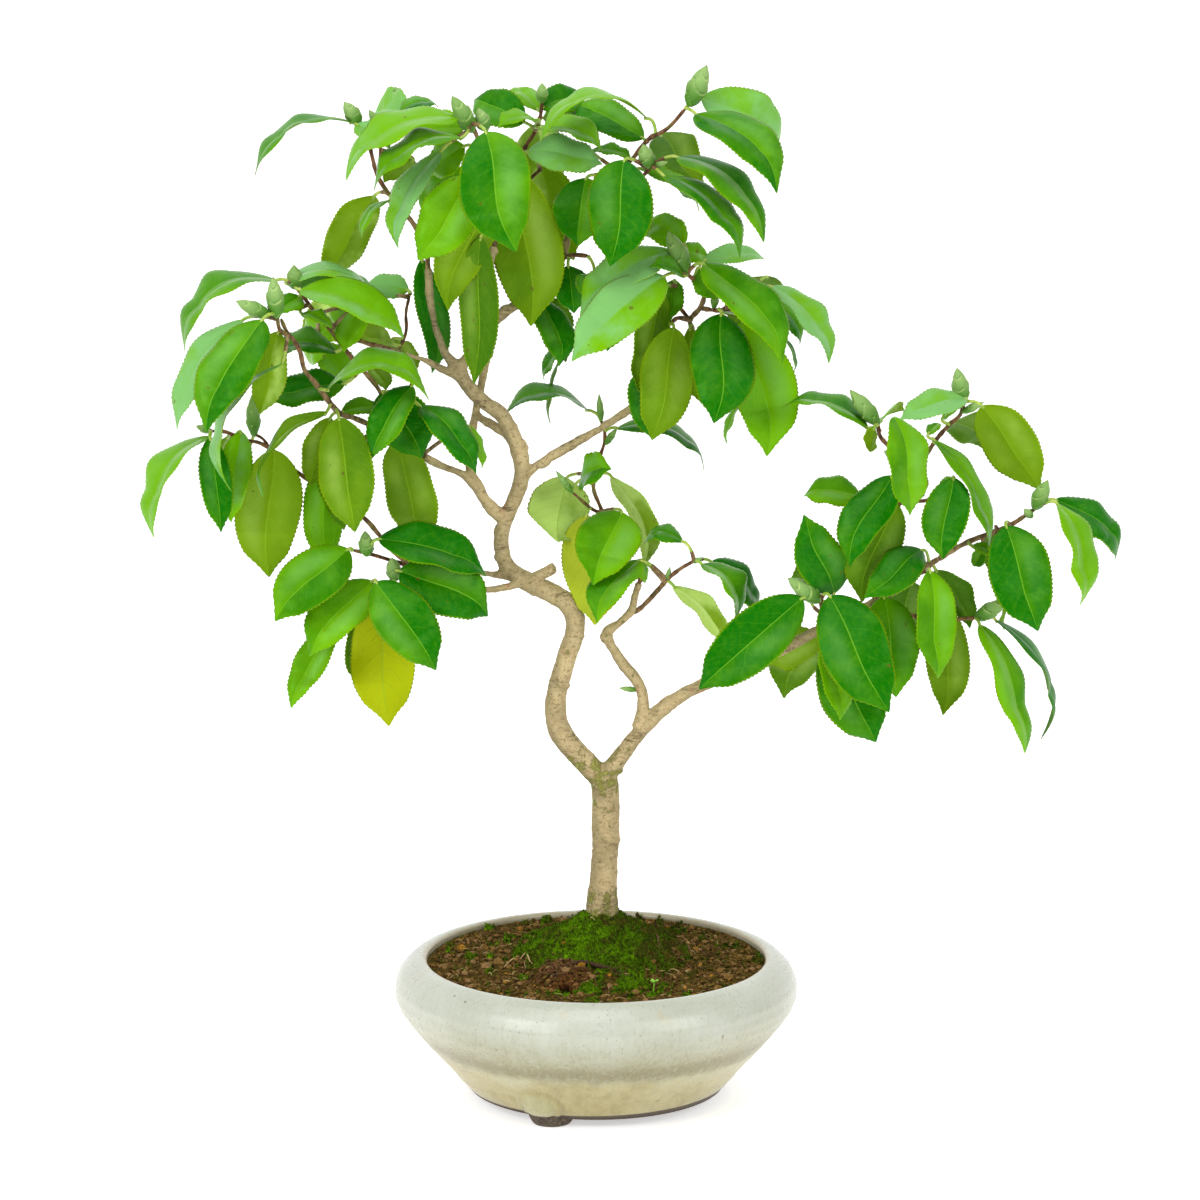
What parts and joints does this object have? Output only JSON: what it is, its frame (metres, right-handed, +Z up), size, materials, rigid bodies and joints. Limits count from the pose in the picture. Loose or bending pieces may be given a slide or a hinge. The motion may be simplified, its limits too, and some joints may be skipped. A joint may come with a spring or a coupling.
{
  "type": "japanese camellia bonsai",
  "caption": "Slender camellia bonsai with a forked trunk and leafy sprays in a round glazed bowl with soil and moss.",
  "frame": {"origin": "the ground under the middle of the plant's width and depth", "axes": "+Z up along the trunk, the viewer of the plant's best side looks along +Y"},
  "size_m": [0.478, 0.204, 0.5207],
  "materials": {
    "glaze": "pale celadon glaze with brown specks, glossy",
    "screen": "black plastic mesh",
    "soil": "crumbly baked-clay soil with ochre grains",
    "moss": "soft green moss",
    "bark": "smooth grey-beige bark",
    "foliage": "glossy green leaves on brown twigs"
  },
  "bodies": {
    "root": {"bowl": "glaze", "drain_screen": "screen", "soil": "soil", "moss": "moss", "trunk_and_limbs": "bark", "spray_crown_far_left": "foliage", "spray_crown_left": "foliage", "spray_crown_middle": "foliage", "spray_crown_right": "foliage", "spray_left_back": "foliage", "spray_left_upper": "foliage", "spray_left_front": "foliage", "spray_left_inner": "foliage", "spray_left_low": "foliage", "spray_low_front": "foliage", "spray_middle": "foliage", "spray_below_middle": "foliage", "spray_small_right": "foliage", "spray_cluster": "foliage", "spray_right_near": "foliage", "spray_right_under": "foliage", "spray_right_middle": "foliage", "spray_right_tip": "foliage", "spray_right_upright": "foliage", "spray_right_upper": "foliage", "spray_right_slender": "foliage", "spray_right_low": "foliage"}
  },
  "joints": []
}
